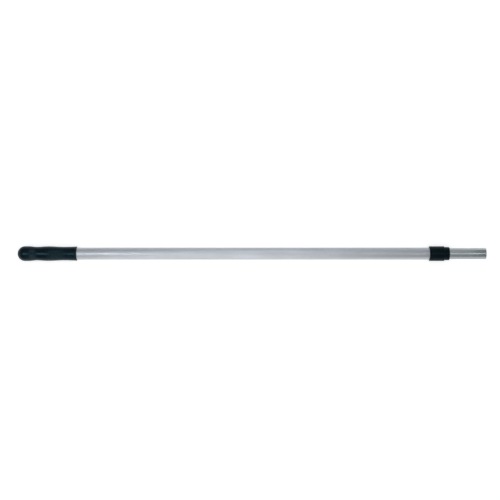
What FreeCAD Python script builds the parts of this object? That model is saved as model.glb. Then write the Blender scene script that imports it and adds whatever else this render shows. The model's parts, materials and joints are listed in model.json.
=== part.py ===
"""Two-section telescopic roller extension pole with an internal twist lock.

The pole lies along X, closed and locked, with its grip at -X and its tip at +X. Every outline is drawn
along the axis from the end of the grip's dome, and one placement then centres each body on the origin
and lifts the axis to the height at which the pole lies on its grip and collar.
"""

import FreeCAD
import Part
import os
import re
import Sketcher
from FreeCAD import Placement, Rotation, Vector

# Lengths and radii in millimetres. A place is measured along the pole from the end of the dome.
DIMENSIONS = {
    # whole pole
    "closed_length": 1100,
    "pole_travel": 900,
    "stop_gap": 0.5,
    "rest_radius": 17.5,
    # tubes
    "outer_radius": 14,
    "inner_radius": 12.5,
    "tube_wall": 1,
    "tube_mouth": 1000,
    "running_gap": 0.05,
    "free_gap": 0.15,
    "lead_in": 1,
    # hand grip
    "bulge_end": 26,
    "first_waist": 46,
    "waist_radius": 15.9,
    "second_bulge": 71,
    "second_bulge_radius": 17.2,
    "second_waist": 110,
    "flare_radius": 16.6,
    "grip_length": 139.5,
    "lip_radius": 16.9,
    "lip_width": 3,
    "lip_groove_width": 2,
    "lip_groove_depth": 0.5,
    # domed end plug inside the grip
    "plug_wall": 2,
    "plug_skirt": 18,
    # guide collar and its bush
    "collar_start": 967,
    "collar_step": 1002,
    "collar_end": 1014,
    "rim_width": 2,
    "rim_height": 0.1,
    "step_edge": 0.8,
    "nose_radius": 15.6,
    "nose_edge": 1.2,
    "bush_length": 10,
    "bush_lead_in": 0.5,
    # inner tube's free end
    "tip_flange": 1.5,
    "tip_skirt": 15,
    "tip_plug_wall": 2,
    "tip_round": 1,
    "lock_hole_setback": 40,
    "lock_hole_radius": 3.5,
    "mark_setback": 82,
    "mark_width": 0.8,
    "mark_depth": 0.2,
    # carrier fixed in the inner tube's lower end, and its cross pin
    "carrier_stem": 24,
    "carrier_flange": 6,
    "carrier_radius": 12.9,
    "pin_radius": 2,
    "pin_setback": 12,
    "pin_length": 24.8,
    # cones and the split expander sleeve between them
    "cone_length": 8,
    "cone_base_radius": 11,
    "cone_nose_radius": 8,
    "cone_gap": 0.1,
    "sleeve_length": 34.5,
    "sleeve_radius": 12.95,
    "sleeve_setback": 2.5,
    "sleeve_edge": 0.8,
    "slot_width": 2,
    "slot_length": 21.5,
    "nut_flange": 3.5,
    "nut_flange_radius": 12,
    "key_width": 1.8,
    "key_length": 3.5,
    "key_setback": 1,
    "key_radius": 12.2,
    "key_root_radius": 7.5,
    # threaded spindle, hexagon nuts and stop washer
    "spindle_radius": 4,
    "spindle_bite": 22,
    "spindle_end": 38.5,
    "spindle_chamfer": 0.8,
    "nut_flats": 13,
    "nut_height": 6.5,
    "crown_radius": 6.2,
    "crown_reach": 8,
    "crown_angle": 30,
    "washer_radius": 10,
    "washer_thickness": 1.2,
    "nut_travel_gap": 1.1,
}

# Places that follow from the dimensions, as formulas for the document's expressions.
POLE_BORE = "(outer_radius - tube_wall)"
TIP_BORE = "(inner_radius - tube_wall)"
INNER_TUBE_START = "(tube_mouth - pole_travel - stop_gap)"
INNER_TUBE_END = "(closed_length - tip_flange)"
FLANGE_START = f"({INNER_TUBE_START} - carrier_flange)"
FIXED_CONE_NOSE = f"({FLANGE_START} - cone_length)"
SLEEVE_END = f"({FLANGE_START} - sleeve_setback)"
SLEEVE_START = f"({SLEEVE_END} - sleeve_length)"
NUT_CONE_BASE = f"({SLEEVE_START} - sleeve_setback)"
NUT_CONE_NOSE = f"({NUT_CONE_BASE} + cone_length)"
NUT_START = f"({NUT_CONE_BASE} - nut_flange)"
WASHER_END = f"({NUT_START} - nut_travel_gap)"
WASHER_START = f"({WASHER_END} - washer_thickness)"
RETAINER_START = f"({WASHER_START} - nut_height)"
CONE_SLOPE = "((cone_base_radius - cone_nose_radius) / cone_length)"

FULL_TURN = 360
SKETCH_ORIGIN = (-1, 1)
EDGE_START, EDGE_END, ARC_CENTRE = 1, 2, 3

doc = FreeCAD.newDocument("ExtensionPole")
sheet = doc.addObject("Spreadsheet::Sheet", "Dims")


def fill_sheet():
    """One row for each driving dimension: its name, and its value under the same alias."""
    for row, (alias, number) in enumerate(DIMENSIONS.items(), start=1):
        sheet.set(f"A{row}", alias.replace("_", " "))
        sheet.set(f"B{row}", str(number))
        sheet.setAlias(f"B{row}", alias)
    doc.recompute()


def bound(formula):
    """The formula with every dimension's name pointing into the sheet."""
    return re.sub(r"\b([a-z]+(?:_[a-z]+)+)\b", r"Dims.\1", formula)


def number(formula):
    """What a formula comes to with the sheet's present values."""
    return float(sheet.evalExpression(bound(formula)))


def new_body(name):
    """An empty body, placed so that its outline's axis lies along the pole's axis."""
    body = doc.addObject("PartDesign::Body", name)
    body.Label = name
    body.setExpression("Placement.Base.x", bound("-closed_length / 2"))
    body.setExpression("Placement.Base.z", bound("rest_radius"))
    return body


def new_sketch(body, name, plane, offset=None, turn=0):
    """A sketch on one of the body's origin planes, moved along its normal and turned about its own X."""
    sketch = body.newObject("Sketcher::SketchObject", name)
    origin_plane = next(part for part in body.Origin.OriginFeatures if part.Role == plane)
    sketch.AttachmentSupport = [(origin_plane, "")]
    sketch.MapMode = "FlatFace"
    sketch.AttachmentOffset = Placement(Vector(), Rotation(Vector(1, 0, 0), turn))
    if offset:
        sketch.setExpression("AttachmentOffset.Base.z", bound(offset))
    return sketch


def hold(sketch, kind, geometry, point, formula):
    """Hold one point's distance from the sketch's origin, DistanceX or DistanceY, to a formula."""
    value = number(formula)
    index = sketch.addConstraint(Sketcher.Constraint(kind, *SKETCH_ORIGIN, geometry, point, value))
    sketch.setExpression(f"Constraints[{index}]", bound(formula))


def arc_between(start, end, centre_place):
    """The arc from start to end whose centre lies at centre_place, and whether it runs backwards."""
    square = (start.x - centre_place) ** 2 - (end.x - centre_place) ** 2 + start.y**2 - end.y**2
    centre = Vector(centre_place, square / (2 * (start.y - end.y)), 0)
    first, last = start - centre, end - centre
    backwards = first.cross(last).z < 0
    circle = Part.Circle(centre, Vector(0, 0, 1), first.Length)
    angles = [Vector(1, 0, 0).getAngle(arm) * (1 if arm.y >= 0 else -1) for arm in (first, last)]
    if backwards:
        angles.reverse()
    return Part.ArcOfCircle(circle, *angles), backwards


def draw_outline(sketch, corners):
    """A closed outline. A corner is two formulas, with a third where an arc leaves it: the place of its centre."""
    base = sketch.GeometryCount
    points = [Vector(number(corner[0]), number(corner[1]), 0) for corner in corners]
    tails = []
    heads = []
    for index, corner in enumerate(corners):
        start = points[index]
        end = points[(index + 1) % len(points)]
        backwards = False
        if len(corner) > 2:
            edge, backwards = arc_between(start, end, number(corner[2]))
        else:
            edge = Part.LineSegment(start, end)
        sketch.addGeometry(edge, False)
        tails.append(EDGE_END if backwards else EDGE_START)
        heads.append(EDGE_START if backwards else EDGE_END)
    for index, corner in enumerate(corners):
        edge = base + index
        following = (index + 1) % len(corners)
        joint = Sketcher.Constraint("Coincident", edge, heads[index], base + following, tails[following])
        sketch.addConstraint(joint)
        hold(sketch, "DistanceX", edge, tails[index], corner[0])
        hold(sketch, "DistanceY", edge, tails[index], corner[1])
        if len(corner) > 2:
            hold(sketch, "DistanceX", edge, ARC_CENTRE, corner[2])


def draw_circle(sketch, radius, place="0", height="0"):
    """A circle whose centre and radius are formulas."""
    centre = Vector(number(place), number(height), 0)
    index = sketch.addGeometry(Part.Circle(centre, Vector(0, 0, 1), number(radius)), False)
    hold(sketch, "DistanceX", index, ARC_CENTRE, place)
    hold(sketch, "DistanceY", index, ARC_CENTRE, height)
    size = sketch.addConstraint(Sketcher.Constraint("Radius", index, number(radius)))
    sketch.setExpression(f"Constraints[{size}]", bound(radius))


def turned(name, corners):
    """A body turned about the pole's axis from an outline of places and radii."""
    body = new_body(name)
    outline = new_sketch(body, f"{name}_outline", "XZ_Plane")
    draw_outline(outline, corners)
    revolution = body.newObject("PartDesign::Revolution", f"{name}_turned")
    revolution.Profile = outline
    revolution.ReferenceAxis = (outline, ["H_Axis"])
    revolution.Angle = FULL_TURN
    doc.recompute()
    return body


def cut(body, sketch, name, length=None, midplane=False, reverse=False):
    """Pocket the sketch out of the body, and make sure that it took something away."""
    before = body.Shape.Volume
    pocket = body.newObject("PartDesign::Pocket", name)
    pocket.Profile = sketch
    pocket.Midplane = midplane
    pocket.Reversed = reverse
    if length:
        pocket.Type = "Length"
        pocket.setExpression("Length", bound(length))
    else:
        pocket.Type = "ThroughAll"
    doc.recompute()
    if body.Shape.Volume >= before:
        raise RuntimeError(f"{name} removes nothing from {body.Label}")
    return pocket


def turned_cut(body, name, corners):
    """Turn an outline of places and radii out of the body, and make sure that it took something away."""
    before = body.Shape.Volume
    outline = new_sketch(body, f"{name}_outline", "XZ_Plane")
    draw_outline(outline, corners)
    groove = body.newObject("PartDesign::Groove", name)
    groove.Profile = outline
    groove.ReferenceAxis = (outline, ["H_Axis"])
    groove.Angle = FULL_TURN
    doc.recompute()
    if body.Shape.Volume >= before:
        raise RuntimeError(f"{name} removes nothing from {body.Label}")


def repeat_round(body, feature, axis_sketch, name, count, angle=FULL_TURN):
    """Repeat a feature about the pole's axis."""
    pattern = body.newObject("PartDesign::PolarPattern", name)
    pattern.Originals = [feature]
    pattern.Axis = (axis_sketch, ["H_Axis"])
    pattern.Angle = angle
    pattern.Occurrences = count
    body.Tip = pattern
    doc.recompute()


def swell(place, radius, next_place, next_radius):
    """A crest joined to a waist by two equal arcs, level at both ends."""
    middle = (f"({place} + {next_place}) / 2", f"({radius} + {next_radius}) / 2", next_place)
    return [(place, radius, place), middle]


def cross_hole(body, name, place, radius):
    """A round hole across the pole, through everything on both sides of the axis."""
    sketch = new_sketch(body, f"{name}_circle", "XZ_Plane")
    draw_circle(sketch, radius, place=place)
    cut(body, sketch, name, midplane=True)


def hexagon(sketch, flats):
    """A regular hexagon about the axis, with its corners in formulas of the width across flats."""
    corner = f"{flats} / sqrt(3)"
    angles = range(0, FULL_TURN, 60)
    draw_outline(sketch, [(f"{corner} * cos({angle})", f"{corner} * sin({angle})") for angle in angles])


def hexagon_nut(name, start, bore):
    """A hexagon nut on the spindle, its corners turned off at both faces, its thread a plain bore."""
    body = new_body(name)
    sketch = new_sketch(body, f"{name}_outline", "YZ_Plane", offset=start)
    hexagon(sketch, "nut_flats")
    draw_circle(sketch, bore)
    pad = body.newObject("PartDesign::Pad", f"{name}_pad")
    pad.Profile = sketch
    pad.setExpression("Length", bound("nut_height"))
    doc.recompute()
    end = f"{start} + nut_height"
    slope = "(crown_reach - crown_radius) * tan(crown_angle)"
    for face, place, foot in (("near", start, f"{start} + {slope}"), ("far", end, f"{end} - {slope}")):
        crown = [(place, "crown_radius"), (place, "crown_reach"), (foot, "crown_reach")]
        turned_cut(body, f"{name}_{face}_crown", crown)


def outer_tube():
    """The larger tube, from the middle of the grip's dome to its mouth in the collar."""
    turned(
        "outer_tube",
        [
            ("rest_radius", "outer_radius"),
            ("tube_mouth", "outer_radius"),
            ("tube_mouth", POLE_BORE),
            ("rest_radius", POLE_BORE),
        ],
    )


def hand_grip():
    """A soft sleeve with a domed end, two bulges, two waists and a lip at its mouth."""
    groove_start = "grip_length - lip_width - lip_groove_width"
    groove_end = "grip_length - lip_width"
    groove_radius = "flare_radius - lip_groove_depth"
    turned(
        "hand_grip",
        [
            ("0", "0", "rest_radius"),
            ("rest_radius", "rest_radius"),
            *swell("bulge_end", "rest_radius", "first_waist", "waist_radius"),
            *swell("first_waist", "waist_radius", "second_bulge", "second_bulge_radius"),
            *swell("second_bulge", "second_bulge_radius", "second_waist", "waist_radius"),
            ("second_waist", "waist_radius", "second_waist"),
            (groove_start, "flare_radius"),
            (groove_start, groove_radius),
            (groove_end, groove_radius),
            (groove_end, "lip_radius"),
            ("grip_length - lead_in", "lip_radius", "grip_length - lead_in"),
            ("grip_length", "lip_radius - lead_in"),
            ("grip_length", "outer_radius"),
            ("rest_radius", "outer_radius", "rest_radius"),
            ("rest_radius - outer_radius", "0"),
        ],
    )


def end_plug():
    """A hollow domed plug that keeps the tube's edge off the grip, with a skirt in the tube."""
    skirt_end = "rest_radius + plug_skirt"
    hollow = f"({POLE_BORE} - plug_wall)"
    turned(
        "tube_end_plug",
        [
            ("rest_radius - outer_radius", "0", "rest_radius"),
            ("rest_radius", "outer_radius"),
            ("rest_radius", POLE_BORE),
            (f"{skirt_end} - lead_in", POLE_BORE),
            (skirt_end, f"{POLE_BORE} - lead_in"),
            (skirt_end, hollow),
            ("rest_radius", hollow, "rest_radius"),
            (f"rest_radius - {hollow}", "0"),
        ],
    )


def guide_collar():
    """A moulded collar over the outer tube's mouth, with a narrower nose round the inner tube."""
    rim_end = "collar_start + rim_width"
    barrel = "rest_radius - rim_height"
    seat = "tube_mouth + bush_length"
    turned(
        "guide_collar",
        [
            ("collar_start", "outer_radius"),
            ("collar_start", "rest_radius"),
            (rim_end, "rest_radius"),
            (rim_end, barrel),
            ("collar_step - step_edge", barrel, "collar_step - step_edge"),
            ("collar_step", f"{barrel} - step_edge"),
            ("collar_step", "nose_radius"),
            ("collar_end - nose_edge", "nose_radius", "collar_end - nose_edge"),
            ("collar_end", "nose_radius - nose_edge"),
            ("collar_end", "inner_radius + free_gap"),
            (seat, "inner_radius + free_gap"),
            (seat, "outer_radius"),
        ],
    )


def collar_bush():
    """The slide bush held in the collar between its nose and the tube's mouth."""
    bush_end = "tube_mouth + bush_length"
    bore = "inner_radius + running_gap"
    turned(
        "collar_bush",
        [
            ("tube_mouth", "outer_radius"),
            (bush_end, "outer_radius"),
            (bush_end, f"{bore} + bush_lead_in"),
            (f"{bush_end} - bush_lead_in", bore),
            ("tube_mouth", bore),
        ],
    )


def inner_tube():
    """The sliding tube, with a depth mark, a button hole near its tip and a hole for the carrier's pin."""
    mark_start = "closed_length - mark_setback"
    mark_end = f"{mark_start} + mark_width"
    marked_radius = "inner_radius - mark_depth"
    body = turned(
        "inner_tube",
        [
            (INNER_TUBE_START, "inner_radius"),
            (mark_start, "inner_radius"),
            (mark_start, marked_radius),
            (mark_end, marked_radius),
            (mark_end, "inner_radius"),
            (INNER_TUBE_END, "inner_radius"),
            (INNER_TUBE_END, TIP_BORE),
            (INNER_TUBE_START, TIP_BORE),
        ],
    )
    cross_hole(body, "pin_hole", f"{INNER_TUBE_START} + pin_setback", "pin_radius")
    button = new_sketch(body, "button_circle", "XZ_Plane")
    draw_circle(button, "lock_hole_radius", place="closed_length - lock_hole_setback")
    cut(body, button, "button_hole", length="outer_radius")


def tip_plug():
    """The plug that closes the inner tube's free end."""
    skirt_start = f"{INNER_TUBE_END} - tip_skirt"
    hollow = f"{TIP_BORE} - tip_plug_wall"
    round_start = "closed_length - tip_round"
    turned(
        "tip_plug",
        [
            (skirt_start, hollow),
            (skirt_start, f"{TIP_BORE} - lead_in"),
            (f"{skirt_start} + lead_in", TIP_BORE),
            (INNER_TUBE_END, TIP_BORE),
            (INNER_TUBE_END, "inner_radius"),
            (round_start, "inner_radius", round_start),
            ("closed_length", "inner_radius - tip_round"),
            ("closed_length", "0"),
            (f"{INNER_TUBE_END}", "0"),
            (f"{INNER_TUBE_END}", hollow),
        ],
    )


def spindle_carrier():
    """A plug in the inner tube's lower end, with a flange that runs in the bore and the fixed cone."""
    stem_end = f"{INNER_TUBE_START} + carrier_stem"
    body = turned(
        "spindle_carrier",
        [
            (FIXED_CONE_NOSE, "spindle_radius"),
            (FIXED_CONE_NOSE, "cone_nose_radius"),
            (FLANGE_START, "cone_base_radius"),
            (FLANGE_START, "carrier_radius"),
            (INNER_TUBE_START, "carrier_radius"),
            (INNER_TUBE_START, TIP_BORE),
            (f"{stem_end} - lead_in", TIP_BORE),
            (stem_end, f"{TIP_BORE} - lead_in"),
            (stem_end, "spindle_radius"),
        ],
    )
    cross_hole(body, "carrier_pin_hole", f"{INNER_TUBE_START} + pin_setback", "pin_radius")


def carrier_pin():
    """The pin across the tube that holds the carrier and the spindle."""
    body = new_body("carrier_pin")
    sketch = new_sketch(body, "carrier_pin_circle", "XZ_Plane")
    draw_circle(sketch, "pin_radius", place=f"{INNER_TUBE_START} + pin_setback")
    pad = body.newObject("PartDesign::Pad", "carrier_pin_pad")
    pad.Profile = sketch
    pad.Midplane = True
    pad.setExpression("Length", bound("pin_length"))
    doc.recompute()


def lock_spindle():
    """The spindle whose thread draws the cone nut along. Its thread is modelled at the major diameter."""
    spindle_top = f"{INNER_TUBE_START} + spindle_bite"
    edge_radius = "spindle_radius - spindle_chamfer"
    body = turned(
        "lock_spindle",
        [
            ("spindle_end", "0"),
            ("spindle_end", edge_radius),
            ("spindle_end + spindle_chamfer", "spindle_radius"),
            (f"{spindle_top} - spindle_chamfer", "spindle_radius"),
            (spindle_top, edge_radius),
            (spindle_top, "0"),
        ],
    )
    cross_hole(body, "spindle_pin_hole", f"{INNER_TUBE_START} + pin_setback", "pin_radius")


def expander_sleeve():
    """The split sleeve that the two cones spread against the outer tube's bore."""
    bore = "cone_nose_radius + cone_gap"
    mouth_radius = f"cone_base_radius + cone_gap - sleeve_setback * {CONE_SLOPE}"
    body = turned(
        "expander_sleeve",
        [
            (SLEEVE_START, mouth_radius),
            (SLEEVE_START, "sleeve_radius - sleeve_edge"),
            (f"{SLEEVE_START} + sleeve_edge", "sleeve_radius"),
            (f"{SLEEVE_END} - sleeve_edge", "sleeve_radius"),
            (SLEEVE_END, "sleeve_radius - sleeve_edge"),
            (SLEEVE_END, mouth_radius),
            (FIXED_CONE_NOSE, bore),
            (NUT_CONE_NOSE, bore),
        ],
    )
    slots = (
        ("near_slots", SLEEVE_START, f"{SLEEVE_START} + slot_length", 0),
        ("far_slots", f"{SLEEVE_END} - slot_length", SLEEVE_END, 45),
    )
    for name, slot_start, slot_end, turn in slots:
        sketch = new_sketch(body, f"{name}_outline", "XZ_Plane", turn=turn)
        corners = [
            (slot_start, "-slot_width / 2"),
            (slot_end, "-slot_width / 2"),
            (slot_end, "slot_width / 2"),
            (slot_start, "slot_width / 2"),
        ]
        draw_outline(sketch, corners)
        pocket = cut(body, sketch, name, midplane=True)
        repeat_round(body, pocket, sketch, f"{name}_crossed", count=2, angle=FULL_TURN / 4)


def cone_nut():
    """The moving cone, with keys in the sleeve's slots and a pocket for its hexagon nut."""
    bore = "spindle_radius + free_gap"
    body = turned(
        "cone_nut",
        [
            (NUT_START, bore),
            (NUT_START, "nut_flange_radius"),
            (NUT_CONE_BASE, "nut_flange_radius"),
            (NUT_CONE_BASE, "cone_base_radius"),
            (NUT_CONE_NOSE, "cone_nose_radius"),
            (NUT_CONE_NOSE, bore),
        ],
    )
    key_end = f"{NUT_CONE_NOSE} - key_setback"
    key_start = f"{key_end} - key_length"
    sketch = new_sketch(body, "key_outline", "XZ_Plane")
    corners = [
        (key_start, "key_root_radius"),
        (key_end, "key_root_radius"),
        (key_end, "key_radius"),
        (key_start, "key_radius"),
    ]
    draw_outline(sketch, corners)
    key = body.newObject("PartDesign::Pad", "key")
    key.Profile = sketch
    key.Midplane = True
    key.setExpression("Length", bound("key_width"))
    doc.recompute()
    repeat_round(body, key, sketch, "keys", count=4)
    pocket_sketch = new_sketch(body, "nut_pocket_outline", "YZ_Plane", offset=NUT_START)
    hexagon(pocket_sketch, "nut_flats")
    cut(body, pocket_sketch, "nut_pocket", length="nut_height", reverse=True)


def stop_washer():
    """The washer that the unlocked cone nut comes to rest on."""
    turned(
        "stop_washer",
        [
            (WASHER_START, "spindle_radius"),
            (WASHER_START, "washer_radius"),
            (WASHER_END, "washer_radius"),
            (WASHER_END, "spindle_radius"),
        ],
    )


def check_document():
    """Stop on any object that failed to compute."""
    for item in doc.Objects:
        if {"Invalid", "Error"} & set(item.State):
            raise RuntimeError(f"{item.Name} failed: {item.State}")


def write_parts():
    """One STEP file for each body, named by its label."""
    os.makedirs("parts", exist_ok=True)
    for body in doc.findObjects("PartDesign::Body"):
        if body.Shape.isNull() or not body.Shape.isValid():
            raise RuntimeError(f"{body.Label} has no valid shape")
        body.Shape.exportStep(f"parts/{body.Label}.step")
        solids = len(body.Shape.Solids)
        print(f"{body.Label}: {solids} solid, {body.Shape.Volume / 1000:.2f} cm3")


fill_sheet()
outer_tube()
hand_grip()
end_plug()
guide_collar()
collar_bush()
inner_tube()
tip_plug()
spindle_carrier()
carrier_pin()
lock_spindle()
expander_sleeve()
cone_nut()
hexagon_nut("captive_nut", NUT_START, "spindle_radius + running_gap")
stop_washer()
hexagon_nut("retaining_nut", RETAINER_START, "spindle_radius")
check_document()
write_parts()
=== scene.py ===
import bmesh
import bpy
import json
import math
from mathutils import Matrix, Vector


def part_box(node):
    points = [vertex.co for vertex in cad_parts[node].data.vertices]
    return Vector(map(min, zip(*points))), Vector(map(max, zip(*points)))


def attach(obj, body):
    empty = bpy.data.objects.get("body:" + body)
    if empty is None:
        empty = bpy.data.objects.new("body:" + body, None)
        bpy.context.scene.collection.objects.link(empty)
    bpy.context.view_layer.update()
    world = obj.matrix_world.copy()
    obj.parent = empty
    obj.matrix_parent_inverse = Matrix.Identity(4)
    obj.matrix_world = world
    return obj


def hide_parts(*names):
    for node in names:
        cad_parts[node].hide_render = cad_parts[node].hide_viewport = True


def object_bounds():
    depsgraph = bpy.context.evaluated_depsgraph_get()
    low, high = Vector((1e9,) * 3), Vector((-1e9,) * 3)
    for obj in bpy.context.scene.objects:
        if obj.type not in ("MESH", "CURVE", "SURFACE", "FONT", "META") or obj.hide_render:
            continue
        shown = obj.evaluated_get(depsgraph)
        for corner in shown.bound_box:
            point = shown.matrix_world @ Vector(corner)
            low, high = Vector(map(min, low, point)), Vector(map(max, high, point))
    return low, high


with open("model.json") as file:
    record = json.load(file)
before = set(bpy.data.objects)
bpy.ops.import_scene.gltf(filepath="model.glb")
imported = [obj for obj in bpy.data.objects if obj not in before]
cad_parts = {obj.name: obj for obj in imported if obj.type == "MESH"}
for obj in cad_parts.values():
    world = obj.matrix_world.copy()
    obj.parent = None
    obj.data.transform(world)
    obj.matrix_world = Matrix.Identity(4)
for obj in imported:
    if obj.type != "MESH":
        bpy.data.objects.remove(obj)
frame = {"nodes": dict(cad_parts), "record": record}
cad_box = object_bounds()
nodes = frame["nodes"]
record = frame["record"]
slots = {subpart["node"]: subpart["material_slot"] for subpart in record["subparts"]}
mounts = {mount["name"]: mount for mount in record["mounts"]}
body_of = {node: body for body, members in record["behaviour"]["bodies"].items() for node in members}

MM = 0.001
POLE_LOW, POLE_HIGH = cad_box
POLE_MIDDLE = (Vector(POLE_LOW) + Vector(POLE_HIGH)) / 2
POLE_LENGTH = POLE_HIGH[0] - POLE_LOW[0]
AXIS_HEIGHT = sum(corner.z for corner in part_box("outer_tube")) / 2

# Shapes in millimetres. A place is measured along the pole from the piece's own end at -X.
SEGMENTS = 192
ROUNDING_STEPS = 6
SMOOTH_BELOW = math.radians(34)
SEAM_WIDTH = 0.5
SEAM_DEPTH = 0.08
SEAM_STEPS = (-1, -0.5, 0.5, 1)
SEAM_FROM_RADIUS = 14.65  # only the outsides of the mouldings have a parting line
DOME_STEPS = 24
TUBE_WALL = 1
TUBE_EDGE = 0.25
GRIP_SWELLS = ((26, 17.5), (46, 15.9), (71, 17.2), (110, 15.9))
GRIP_STEPS = 14
GRIP_FLARE_END = 134.5
GRIP_FLARE_RADIUS = 16.6
GRIP_GROOVE_END = 136.5
GRIP_GROOVE_DEPTH = 0.5
GRIP_LIP_RADIUS = 16.9
GRIP_LIP_BACK = 0.3
GRIP_LIP_ROUND = 1.0
GRIP_GROOVE_SLOPE = 0.3
GRIP_EDGE = 0.2
COLLAR_RIM_WIDTH = 2
COLLAR_RIM_HEIGHT = 0.1
COLLAR_RIM_SLOPE = 0.2
COLLAR_RIM_EDGE = 0.04
COLLAR_STEP = 35
COLLAR_STEP_EDGE = 0.8
COLLAR_STEP_CORNER = 0.5
COLLAR_NOSE_RADIUS = 15.6
COLLAR_NOSE_EDGE = 1.2
COLLAR_MOUTH_EDGE = 0.4
COLLAR_BACK_EDGE = 0.3
COLLAR_BORE_RADIUS = 12.65
MARK_SETBACK = 82
MARK_WIDTH = 0.8
MARK_DEPTH = 0.2
HOLE_MARGIN = 0.5  # from a drilled hole to the rings of vertices either side of it
TIP_FLANGE = 1.5
TIP_WALL = 2
TIP_ROUND = 1
TIP_FLANGE_EDGE = 0.1
TIP_SKIRT_EDGE = 0.6
TIP_MOUTH_EDGE = 0.4
THREAD_PITCH = 1.25
THREAD_DEPTH = 0.65
THREAD_CREST = 0.1  # of half a pitch
THREAD_FLANK = 0.7
THREAD_STEPS = 8
SPINDLE_SEGMENTS = 48
SPINDLE_CHAMFER = 0.8
PIN_EDGE = 0.5

# Camera: straight down on the lying pole, far enough away that its length shows little perspective.
CAMERA_DISTANCE = 3.0
POLE_SHARE_OF_FRAME = 0.936
CAMERA_OFFSET = Vector((-4 * MM, 8.5 * MM, 0))

# Studio: angles in degrees from overhead towards -Y, lengths in metres, light as radiance.
BACKDROP_LIGHT = 0.9  # what the camera sees beyond the floor
HORIZON_LIGHT = 0.4
SKY_LIGHT = 0.17
HORIZON_FADE = 0.3
HORIZON_TILT = (0, 0.2, 0.98)  # the pale band dips behind the pole, on its +Y side
END_WALL_FROM = 0.7  # how far along X a direction points before it meets a pale end wall
END_WALL_LIGHT = 0.35
PANEL_STEP = 32
PANEL_DISTANCE = 3.6
COOL = (0.975, 1.0, 1.02)
WARM = (1.02, 1.0, 0.98)
BLUE = (0.9, 1.0, 1.05)
TENT_PANELS = {
    -64: {"radiance": 0.68, "length": 1.5, "along": 0.12, "tint": COOL},
    -32: {"radiance": 1.0, "length": 1.45, "along": -0.06, "tint": COOL},
    0: {"radiance": 0.66, "length": 1.0, "along": -0.04, "tint": COOL},
    32: {"radiance": 1.27, "length": 1.15, "along": -0.16, "tint": WARM},
    64: {"radiance": 1.22, "length": 1.15, "along": -0.24, "tint": WARM},
}
END_BOX_DISTANCE = 3.4
GRIP_BOX = {"angle": 4, "width": 1.3, "length": 1.3, "radiance": 3.2, "along": -1.72, "tint": BLUE}
TIP_BOX = {"angle": 1, "width": 0.5, "length": 0.8, "radiance": 2.2, "along": 1.3, "tint": BLUE}
FLOOR_HALF = 40.0
FLOOR_GLOW = 0.68  # towards the camera
FAR_BOUNCE = 0.27  # towards the pole, from its +Y side
NEAR_BOUNCE = 0.23  # added on its -Y side
NEAR_BOUNCE_AT_TIP = 0.2  # the share of that which is left at the tip
BOUNCE_REACH = 0.1  # across the pole, from far bounce to near bounce
BOUNCE_FALL = {"from_low": 0.1, "from_high": 0.45}  # along the pole, as the near bounce falls away

# Finishes.
WHITE = (1, 1, 1, 1)
BLACK_SHEEN = (0.46, 0.88, 1.0, 1)  # the cool cast of light on the black mouldings
BLACK_IOR = 1.33
RUBBER_IOR = 1.4


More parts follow.
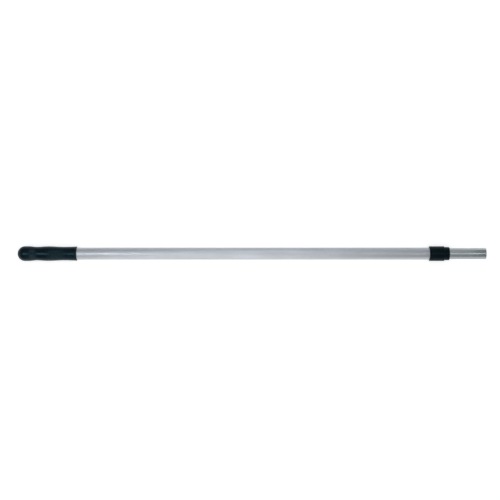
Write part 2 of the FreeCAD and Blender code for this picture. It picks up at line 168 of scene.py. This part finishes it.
class Graph:
    """The node tree of a material or a world, with short forms for the nodes that they use."""

    def __init__(self, owner, shader, coordinates):
        self.owner = owner
        owner.use_nodes = True
        self.tree = owner.node_tree
        self.shader = self.tree.nodes[shader]
        self.place = self.node("ShaderNodeTexCoord").outputs[coordinates]

    def node(self, kind, **settings):
        made = self.tree.nodes.new(kind)
        for key, value in settings.items():
            setattr(made, key, value)
        return made

    def feed(self, target, value):
        """Link an output to a socket, or set a plain value on it."""
        if isinstance(value, bpy.types.NodeSocket):
            self.tree.links.new(value, target)
        else:
            target.default_value = value

    def noise(self, per_metre, detail=4.0, roughness=0.5):
        """Noise with that many features per metre along X, Y and Z."""
        mapping = self.node("ShaderNodeMapping")
        self.feed(mapping.inputs["Vector"], self.place)
        mapping.inputs["Scale"].default_value = per_metre
        noise = self.node("ShaderNodeTexNoise")
        self.feed(noise.inputs["Vector"], mapping.outputs["Vector"])
        noise.inputs["Scale"].default_value = 1.0
        noise.inputs["Detail"].default_value = detail
        noise.inputs["Roughness"].default_value = roughness
        return noise.outputs["Fac"]

    def spread(self, value, low, high, from_low=0.3, from_high=0.7):
        """Map a texture's usual range onto low to high."""
        ranged = self.node("ShaderNodeMapRange")
        self.feed(ranged.inputs["Value"], value)
        ranged.inputs["From Min"].default_value = from_low
        ranged.inputs["From Max"].default_value = from_high
        ranged.inputs["To Min"].default_value = low
        ranged.inputs["To Max"].default_value = high
        return ranged.outputs["Result"]

    def blend(self, factor, first, second):
        """A colour between two colours."""
        mix = self.node("ShaderNodeMix", data_type="RGBA")
        self.feed(mix.inputs["Factor"], factor)
        self.feed(mix.inputs["A"], first)
        self.feed(mix.inputs["B"], second)
        return mix.outputs["Result"]

    def math(self, operation, first, second):
        calculation = self.node("ShaderNodeMath", operation=operation)
        self.feed(calculation.inputs[0], first)
        self.feed(calculation.inputs[1], second)
        return calculation.outputs["Value"]

    def part(self, axis):
        """One coordinate of the place or direction being shaded."""
        split = self.node("ShaderNodeSeparateXYZ")
        self.feed(split.inputs["Vector"], self.place)
        return split.outputs[axis]

    def rough(self, fine, coarse, low, high, patches):
        """Roughness from low to high with the fine texture, plus up to patches with the coarse one."""
        return self.math("ADD", self.spread(fine, low, high), self.spread(coarse, 0.0, patches))

    def bump(self, height, depth, strength, under=None):
        """Relief of that depth in metres, on top of an earlier bump if there is one."""
        relief = self.node("ShaderNodeBump")
        relief.inputs["Strength"].default_value = strength
        relief.inputs["Distance"].default_value = depth
        self.feed(relief.inputs["Height"], height)
        if under:
            self.feed(relief.inputs["Normal"], under)
        return relief.outputs["Normal"]

    def seen(self, directly, in_reflections):
        """One value for what the camera sees directly, another for light that reaches the object."""
        path = self.node("ShaderNodeLightPath")
        mix = self.node("ShaderNodeMix")
        self.feed(mix.inputs["Factor"], path.outputs["Is Camera Ray"])
        self.feed(mix.inputs["A"], in_reflections)
        self.feed(mix.inputs["B"], directly)
        return mix.outputs["Result"]

    def paint(self, **sockets):
        """Feed the shader's sockets, and give the finished material or world."""
        for socket, value in sockets.items():
            self.feed(self.shader.inputs[socket.replace("_", " ")], value)
        return self.owner


def material(name):
    return Graph(bpy.data.materials.new(name), "Principled BSDF", "Object")


def drawn_aluminium(name, colour, stain, edge, roughness, lines_depth):
    """Drawn tube: fine lines along its length, faint handling stains, and long faint streaks along it."""
    graph = material(name)
    lines = graph.noise((5, 2600, 2600), detail=3.0)
    bands = graph.noise((1.5, 260, 260), detail=2.0)
    stains = graph.noise((14, 40, 40), detail=5.0, roughness=0.6)
    tone = graph.blend(graph.spread(stains, 0.0, 0.55), colour, stain)
    tone = graph.blend(graph.spread(bands, 0.0, 0.25), tone, stain)
    rough = graph.rough(lines, stains, roughness - 0.04, roughness + 0.05, patches=0.06)
    relief = graph.bump(lines, lines_depth, strength=0.5)
    return graph.paint(Metallic=1.0, Specular_Tint=edge, Base_Color=tone, Roughness=rough, Normal=relief)


def soft_rubber(name, colour, worn):
    """Black soft moulding: fine grain, a dull sheen and paler scuffs where hands rub it."""
    graph = material(name)
    grain = graph.noise((3200, 3200, 3200), detail=2.0)
    cloud = graph.noise((60, 60, 60), detail=4.0)
    tone = graph.blend(graph.spread(cloud, 0.0, 0.5), colour, worn)
    rough = graph.rough(grain, cloud, 0.22, 0.28, patches=0.04)
    relief = graph.bump(grain, 0.00006, strength=0.35)
    relief = graph.bump(cloud, 0.0006, strength=0.15, under=relief)
    sheen = {"IOR": RUBBER_IOR, "Specular_Tint": BLACK_SHEEN}
    return graph.paint(Base_Color=tone, Roughness=rough, Normal=relief, **sheen)


def moulded_plastic(name, colour, worn, roughness, ior=1.5, sheen=WHITE):
    """Injection-moulded plastic: spark-eroded grain and slight flow marks."""
    graph = material(name)
    grain = graph.noise((2400, 2400, 2400), detail=2.0)
    flow = graph.noise((70, 180, 180), detail=4.0)
    tone = graph.blend(graph.spread(flow, 0.0, 0.5), colour, worn)
    rough = graph.rough(grain, flow, roughness - 0.03, roughness + 0.05, patches=0.08)
    relief = graph.bump(grain, 0.00004, strength=0.4)
    return graph.paint(IOR=ior, Specular_Tint=sheen, Base_Color=tone, Roughness=rough, Normal=relief)


def plated_metal(name, colour, stain, roughness):
    """Turned and plated small parts: fine turning marks round the axis and a mottled tone."""
    graph = material(name)
    turning = graph.noise((3000, 40, 40), detail=2.0)
    mottle = graph.noise((300, 300, 300), detail=4.0)
    tone = graph.blend(graph.spread(mottle, 0.0, 0.6), colour, stain)
    rough = graph.rough(turning, mottle, roughness - 0.03, roughness + 0.06, patches=0.08)
    relief = graph.bump(turning, 0.00003, strength=0.4)
    return graph.paint(Metallic=1.0, Base_Color=tone, Roughness=rough, Normal=relief)


def finishes():
    """One material for each of the record's slots."""
    makers = {
        "satin_tube": (
            drawn_aluminium,
            {
                "colour": (0.79, 0.82, 0.88, 1),
                "stain": (0.66, 0.69, 0.73, 1),
                "edge": (0.6, 0.62, 0.65, 1),
                "roughness": 0.38,
                "lines_depth": 0.00002,
            },
        ),
        "bright_tube": (
            drawn_aluminium,
            {
                "colour": (0.72, 0.78, 0.80, 1),
                "stain": (0.56, 0.61, 0.63, 1),
                "edge": (0.4, 0.42, 0.44, 1),
                "roughness": 0.25,
                "lines_depth": 0.00001,
            },
        ),
        "soft_grip": (
            soft_rubber,
            {"colour": (0.0003, 0.005, 0.012, 1), "worn": (0.0012, 0.009, 0.018, 1)},
        ),
        "collar_plastic": (
            moulded_plastic,
            {
                "colour": (0.0001, 0.0028, 0.0065, 1),
                "worn": (0.0006, 0.005, 0.010, 1),
                "roughness": 0.28,
                "ior": BLACK_IOR,
                "sheen": BLACK_SHEEN,
            },
        ),
        "tip_plastic": (
            moulded_plastic,
            {"colour": (0.3, 0.31, 0.32, 1), "worn": (0.22, 0.23, 0.24, 1), "roughness": 0.4},
        ),
        "slide_plastic": (
            moulded_plastic,
            {"colour": (0.8, 0.79, 0.73, 1), "worn": (0.68, 0.66, 0.6, 1), "roughness": 0.35},
        ),
        "inner_plastic": (
            moulded_plastic,
            {"colour": (0.02, 0.02, 0.022, 1), "worn": (0.05, 0.05, 0.052, 1), "roughness": 0.45},
        ),
        "zinc_steel": (
            plated_metal,
            {"colour": (0.72, 0.73, 0.74, 1), "stain": (0.55, 0.56, 0.6, 1), "roughness": 0.25},
        ),
        "nut_brass": (
            plated_metal,
            {"colour": (0.8, 0.62, 0.3, 1), "stain": (0.6, 0.42, 0.18, 1), "roughness": 0.25},
        ),
    }
    return {slot: make(slot, **look) for slot, (make, look) in makers.items()}


def dress_nodes(materials):
    """Give each CAD node the material of its slot in the record."""
    for node, slot in slots.items():
        mesh = nodes[node].data
        mesh.materials.clear()
        mesh.materials.append(materials[slot])


def span(node):
    """Where a round CAD node starts and ends along X, and its largest radius, in metres."""
    low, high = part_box(node)
    return low.x, high.x, max(high.y - low.y, high.z - low.z) / 2


def rounded(corners):
    """Points along an outline of (place, radius, rounding) corners. A corner's rounding becomes an arc."""
    points = []
    for index, (place, radius, rounding) in enumerate(corners):
        corner = Vector((place, radius))
        if not rounding:
            points.append(corner)
            continue
        back = (Vector(corners[index - 1][:2]) - corner).normalized()
        on = (Vector(corners[(index + 1) % len(corners)][:2]) - corner).normalized()
        half = back.angle(on) / 2
        centre = corner + (back + on).normalized() * rounding / math.sin(half)
        start = corner + back * rounding / math.tan(half) - centre
        end = corner + on * rounding / math.tan(half) - centre
        for step in range(ROUNDING_STEPS + 1):
            outward = start.slerp(end, step / ROUNDING_STEPS).normalized()
            points.append(centre + outward * rounding)
    return points


def round_angles(segments, seams):
    """Angles round the axis from +Y, with extra ones across a parting line at +Y and at -Y."""
    angles = [math.tau * step / segments for step in range(segments)]
    if seams:
        reach = math.tau / segments * 0.4
        for side in (0, math.pi):
            angles += [side + reach * step for step in SEAM_STEPS]
    return sorted(angle % math.tau for angle in angles)


def seam_dip(angle, radius):
    """How far the parting line sinks into a moulding at this angle."""
    if radius <= SEAM_FROM_RADIUS:
        return 0.0
    arc = abs(math.asin(math.sin(angle))) * radius
    return SEAM_DEPTH * max(0.0, 1 - arc / (SEAM_WIDTH / 2))


def lathe(name, start, points, closed=True, segments=SEGMENTS, seams=False, thread=None):
    """A piece turned about the pole's axis from (place, radius) points in millimetres from start."""
    build = bmesh.new()
    angles = round_angles(segments, seams)
    rings = []
    for place, radius in points:
        if radius <= 0:
            apex = build.verts.new((start + place * MM, 0, AXIS_HEIGHT))
            rings.append([apex] * len(angles))
            continue
        ring = []
        for angle in angles:
            reach = radius
            if seams:
                reach -= seam_dip(angle, radius)
            if thread:
                reach = thread(place, radius, angle)
            across = Vector((0, math.cos(angle), math.sin(angle))) * reach * MM
            ring.append(build.verts.new(across + Vector((start + place * MM, 0, AXIS_HEIGHT))))
        rings.append(ring)
    pairs = list(zip(rings, rings[1:]))
    if closed:
        pairs.append((rings[-1], rings[0]))
    for near, far in pairs:
        for index in range(len(angles)):
            after = (index + 1) % len(angles)
            corners = dict.fromkeys((near[index], near[after], far[after], far[index]))
            build.faces.new(corners)
    return finished(name, build)


def finished(name, build):
    """The bmesh as an object, its faces outward, smooth across gentle edges."""
    bmesh.ops.recalc_face_normals(build, faces=build.faces)
    mesh = bpy.data.meshes.new(name)
    build.to_mesh(mesh)
    build.free()
    smooth(mesh)
    piece = bpy.data.objects.new(name, mesh)
    bpy.context.collection.objects.link(piece)
    return piece


def smooth(mesh):
    mesh.polygons.foreach_set("use_smooth", [True] * len(mesh.polygons))
    mesh.set_sharp_from_angle(angle=SMOOTH_BELOW)


def drill(piece, start, end, radius):
    """Cut a round hole from start to end out of the piece, all in metres."""
    build = bmesh.new()
    along = end - start
    turn = along.to_track_quat("Z", "Y").to_matrix().to_4x4()
    place = Matrix.Translation((start + end) / 2) @ turn
    bmesh.ops.create_cone(
        build,
        cap_ends=True,
        segments=SPINDLE_SEGMENTS,
        radius1=radius,
        radius2=radius,
        depth=along.length,
        matrix=place,
    )
    bit = finished(f"{piece.name}_bit", build)
    hole = piece.modifiers.new("hole", "BOOLEAN")
    hole.operation = "DIFFERENCE"
    hole.solver = "EXACT"
    hole.object = bit
    evaluated = piece.evaluated_get(bpy.context.evaluated_depsgraph_get())
    drilled = bpy.data.meshes.new_from_object(evaluated)
    piece.modifiers.clear()
    piece.data = drilled
    smooth(drilled)
    bpy.data.objects.remove(bit)


def stand_for(piece, node, materials):
    """Put the piece in the place of a CAD node, on its body and in its finish."""
    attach(piece, body_of[node])
    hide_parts(node)
    piece.data.materials.clear()
    piece.data.materials.append(materials[slots[node]])


def tube(name, start, end, radius, marks=(), rings=()):
    """A drawn tube with broken edges, any shallow marks turned into it, and extra rings of vertices."""
    length = (end - start) / MM
    bore = radius - TUBE_WALL
    edge = TUBE_EDGE
    outside = [(place, radius, 0) for place in rings]
    for place in marks:
        outside.append((place, radius, 0))
        outside.append((place, radius - MARK_DEPTH, 0))
        outside.append((place + MARK_WIDTH, radius - MARK_DEPTH, 0))
        outside.append((place + MARK_WIDTH, radius, 0))
    outside.sort(key=lambda corner: corner[0])
    corners = [(0, radius, edge), *outside, (length, radius, edge), (length, bore, edge), (0, bore, edge)]
    return lathe(name, start, rounded(corners))


def outer_tube():
    start, end, radius = span("outer_tube")
    return tube("drawn_outer_tube", start, end, radius / MM)


def inner_tube():
    """The sliding tube with its depth mark, its button hole at +Y and its pin hole across."""
    start, end, radius = span("inner_tube")
    tip = span("tip_plug")[1]
    mark = (tip - start) / MM - MARK_SETBACK
    button = mounts["button_hole"]
    centre = Vector(button["pos_m"])
    button_reach = button["dims"]["r_mm"] * MM
    pin_low, pin_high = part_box("carrier_pin")
    rings = []
    for low, high in ((pin_low.x, pin_high.x), (centre.x - button_reach, centre.x + button_reach)):
        rings += [(low - start) / MM - HOLE_MARGIN, (high - start) / MM + HOLE_MARGIN]
    piece = tube("drawn_inner_tube", start, end, radius / MM, marks=[mark], rings=rings)
    outward = Vector((0, radius, 0))
    drill(piece, centre - outward / 2, centre + outward / 2, button_reach)
    drill_for_pin(piece, radius)
    return piece


def drill_for_pin(piece, reach):
    """Cut the carrier pin's hole across the piece."""
    low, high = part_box("carrier_pin")
    centre = (low + high) / 2
    across = Vector((0, reach * 1.5, 0))
    drill(piece, centre - across, centre + across, (high.x - low.x) / 2)


def hand_grip():
    """A soft moulded sleeve: dome, two swells, a flare with a groove and a lip, and a parting line."""
    start, end, dome = span("hand_grip")
    dome /= MM
    length = (end - start) / MM
    bore = span("outer_tube")[2] / MM
    points = []
    for step in range(DOME_STEPS):
        turn = math.pi / 2 * step / DOME_STEPS
        points.append((dome - dome * math.cos(turn), dome * math.sin(turn)))
    points.append((dome, dome))
    for (place, radius), (next_place, next_radius) in zip(GRIP_SWELLS, GRIP_SWELLS[1:]):
        for step in range(GRIP_STEPS):
            share = step / GRIP_STEPS
            swell = (1 + math.cos(math.pi * share)) / 2
            reach = next_radius + (radius - next_radius) * swell
            points.append((place + (next_place - place) * share, reach))
    waist, waist_radius = GRIP_SWELLS[-1]
    for step in range(GRIP_STEPS):
        share = step / GRIP_STEPS
        rise = (GRIP_FLARE_RADIUS - waist_radius) * share**2
        points.append((waist + (GRIP_FLARE_END - waist) * share, waist_radius + rise))
    groove_radius = GRIP_FLARE_RADIUS - GRIP_GROOVE_DEPTH
    mouth = [
        (GRIP_FLARE_END, GRIP_FLARE_RADIUS, GRIP_EDGE),
        (GRIP_FLARE_END + GRIP_GROOVE_SLOPE, groove_radius, GRIP_EDGE),
        (GRIP_GROOVE_END - GRIP_GROOVE_SLOPE, groove_radius, GRIP_EDGE),
        (GRIP_GROOVE_END, GRIP_LIP_RADIUS, GRIP_LIP_BACK),
        (length, GRIP_LIP_RADIUS, GRIP_LIP_ROUND),
        (length, bore, GRIP_EDGE),
        (dome, bore, 0),
    ]
    ends = [(*points[-1], 0), *mouth, (0, bore, 0)]
    points += [tuple(point) for point in rounded(ends)[1:-1]]
    for step in range(1, DOME_STEPS):
        turn = math.pi / 2 * (1 - step / DOME_STEPS)
        points.append((dome - bore * math.cos(turn), bore * math.sin(turn)))
    points.append((dome - bore, 0))
    return lathe("moulded_hand_grip", start, points, closed=False, seams=True)


def guide_collar():
    """A hard moulding over the tube's mouth: rim, barrel, step and rounded nose, with a parting line."""
    start, end, radius = span("guide_collar")
    radius /= MM
    length = (end - start) / MM
    seat = (span("collar_bush")[1] - start) / MM
    bore = span("outer_tube")[2] / MM
    barrel = radius - COLLAR_RIM_HEIGHT
    corners = [
        (0, radius, COLLAR_MOUTH_EDGE),
        (COLLAR_RIM_WIDTH, radius, COLLAR_RIM_EDGE),
        (COLLAR_RIM_WIDTH + COLLAR_RIM_SLOPE, barrel, COLLAR_RIM_EDGE),
        (COLLAR_STEP, barrel, COLLAR_STEP_EDGE),
        (COLLAR_STEP, COLLAR_NOSE_RADIUS, COLLAR_STEP_CORNER),
        (length, COLLAR_NOSE_RADIUS, COLLAR_NOSE_EDGE),
        (length, COLLAR_BORE_RADIUS, COLLAR_MOUTH_EDGE),
        (seat, COLLAR_BORE_RADIUS, 0),
        (seat, bore, 0),
        (0, bore, COLLAR_BACK_EDGE),
    ]
    return lathe("moulded_guide_collar", start, rounded(corners), seams=True)


def tip_plug():
    """The cap on the inner tube's free end, with a rounded edge and a hollow skirt."""
    start, end, radius = span("tip_plug")
    radius /= MM
    length = (end - start) / MM
    face = length - TIP_FLANGE
    bore = radius - TUBE_WALL
    corners = [
        (length, 0, 0),
        (length, radius, TIP_ROUND),
        (face, radius, TIP_FLANGE_EDGE),
        (face, bore, 0),
        (0, bore, TIP_SKIRT_EDGE),
        (0, bore - TIP_WALL, TIP_MOUTH_EDGE),
        (face, bore - TIP_WALL, TIP_SKIRT_EDGE),
        (face, 0, 0),
    ]
    return lathe("moulded_tip_plug", start, rounded(corners), closed=False)


def carrier_pin():
    """The pin across the inner tube, with broken edges. It is turned along X, then swung across."""
    low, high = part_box("carrier_pin")
    centre = (low + high) / 2
    length = (high.y - low.y) / MM
    radius = (high.x - low.x) / 2 / MM
    corners = [(0, 0, 0), (0, radius, PIN_EDGE), (length, radius, PIN_EDGE), (length, 0, 0)]
    points = rounded(corners)
    piece = lathe("turned_carrier_pin", -length / 2 * MM, points, closed=False, segments=SPINDLE_SEGMENTS)
    upright = Matrix.Translation((0, 0, -AXIS_HEIGHT))
    swing = Matrix.Rotation(math.pi / 2, 4, "Z")
    piece.data.transform(Matrix.Translation(centre) @ swing @ upright)
    return piece


def lock_spindle():
    """The spindle with its thread cut as one continuous helix, chamfered at both ends."""
    start, end, radius = span("lock_spindle")
    radius /= MM
    length = (end - start) / MM
    rows = int(length / THREAD_PITCH * THREAD_STEPS)

    def thread(place, envelope, angle):
        turn = (place / THREAD_PITCH - angle / math.tau) % 1
        flank = abs(turn * 2 - 1)
        cut = THREAD_DEPTH * min(1.0, max(0.0, (flank - THREAD_CREST) / THREAD_FLANK))
        return min(envelope, radius - cut)

    points = [(0, 0)]
    for row in range(rows + 1):
        place = length * row / rows
        from_end = min(place, length - place)
        points.append((place, radius - SPINDLE_CHAMFER + min(SPINDLE_CHAMFER, from_end)))
    points.append((length, 0))
    piece = lathe(
        "threaded_lock_spindle", start, points, closed=False, segments=SPINDLE_SEGMENTS, thread=thread
    )
    drill_for_pin(piece, radius * MM)
    return piece


def detailed_pieces(materials):
    """Finer pieces in the place of the CAD nodes whose surfaces are seen or handled most."""
    makers = (outer_tube, inner_tube, hand_grip, guide_collar, tip_plug, carrier_pin, lock_spindle)
    for make in makers:
        stand_for(make(), make.__name__, materials)


def floor():
    """A wide pale sheet under the pole, lit through from below like a light table."""
    half = FLOOR_HALF
    corners = [(-half, -half, 0), (half, -half, 0), (half, half, 0), (-half, half, 0)]
    mesh = bpy.data.meshes.new("studio_floor")
    mesh.from_pydata(corners, [], [(0, 1, 2, 3)])
    sheet = bpy.data.objects.new("studio_floor", mesh)
    bpy.context.collection.objects.link(sheet)
    graph = material("studio_floor")
    mottle = graph.noise((3, 3, 3), detail=3.0)
    tone = graph.blend(mottle, (0.78, 0.78, 0.78, 1), (0.82, 0.82, 0.82, 1))
    near_side = graph.spread(graph.part("Y"), 1.0, 0.0, from_low=-BOUNCE_REACH, from_high=BOUNCE_REACH)
    grip_end = graph.spread(graph.part("X"), 1.0, NEAR_BOUNCE_AT_TIP, **BOUNCE_FALL)
    extra = graph.math("MULTIPLY", near_side, grip_end)
    bounce = graph.math("ADD", graph.math("MULTIPLY", extra, NEAR_BOUNCE), FAR_BOUNCE)
    glow = graph.seen(FLOOR_GLOW, bounce)
    finish = graph.paint(Roughness=0.9, Base_Color=tone, Emission_Color=WHITE, Emission_Strength=glow)
    mesh.materials.append(finish)


def softbox(name, angle, distance, width, length, radiance, along, tint):
    """A soft area light aimed at the pole. angle turns it from overhead towards -Y, in degrees."""
    lean = math.radians(angle)
    lamp = bpy.data.lights.new(name, "AREA")
    lamp.shape = "RECTANGLE"
    lamp.color = tint
    lamp.size = length
    lamp.size_y = width
    lamp.energy = radiance * math.pi * width * length
    holder = bpy.data.objects.new(name, lamp)
    holder.location = (along, -distance * math.sin(lean), AXIS_HEIGHT + distance * math.cos(lean))
    holder.rotation_euler = (lean, 0, 0)
    bpy.context.collection.objects.link(holder)


def sky():
    """A dim sky with a pale horizon and paler end walls. The camera itself sees an even backdrop."""
    graph = Graph(bpy.data.worlds.new("studio"), "Background", "Generated")
    height = graph.node("ShaderNodeVectorMath", operation="DOT_PRODUCT")
    graph.feed(height.inputs[0], graph.place)
    height.inputs[1].default_value = HORIZON_TILT
    rise = height.outputs["Value"]
    fade = graph.spread(rise, HORIZON_LIGHT, SKY_LIGHT, from_low=0.0, from_high=HORIZON_FADE)
    either_end = graph.math("ABSOLUTE", graph.part("X"), 0.0)
    walls = graph.spread(either_end, 0.0, END_WALL_LIGHT, from_low=END_WALL_FROM, from_high=1.0)
    light = graph.math("ADD", fade, walls)
    return graph.paint(Color=WHITE, Strength=graph.seen(BACKDROP_LIGHT, light))


def studio():
    """The sky, a tent of soft panels over the pole's middle, and a box over the grip and over the tip."""
    bpy.context.scene.world = sky()
    panel_width = 2 * PANEL_DISTANCE * math.tan(math.radians(PANEL_STEP / 2))
    for angle, panel in TENT_PANELS.items():
        softbox(f"panel_{angle}", angle, PANEL_DISTANCE, panel_width, **panel)
    softbox("grip_box", distance=END_BOX_DISTANCE, **GRIP_BOX)
    softbox("tip_box", distance=END_BOX_DISTANCE, **TIP_BOX)
    bpy.context.scene.view_settings.view_transform = "Standard"


def camera():
    """Looks straight down, with the pole across the frame."""
    lens = bpy.data.cameras.new("camera")
    frame_width = POLE_LENGTH / POLE_SHARE_OF_FRAME
    lens.angle = 2 * math.atan(frame_width / 2 / CAMERA_DISTANCE)
    holder = bpy.data.objects.new("camera", lens)
    holder.location = Vector((POLE_MIDDLE.x, POLE_MIDDLE.y, AXIS_HEIGHT + CAMERA_DISTANCE)) + CAMERA_OFFSET
    bpy.context.collection.objects.link(holder)
    bpy.context.scene.camera = holder


materials = finishes()
dress_nodes(materials)
detailed_pieces(materials)
floor()
studio()
camera()
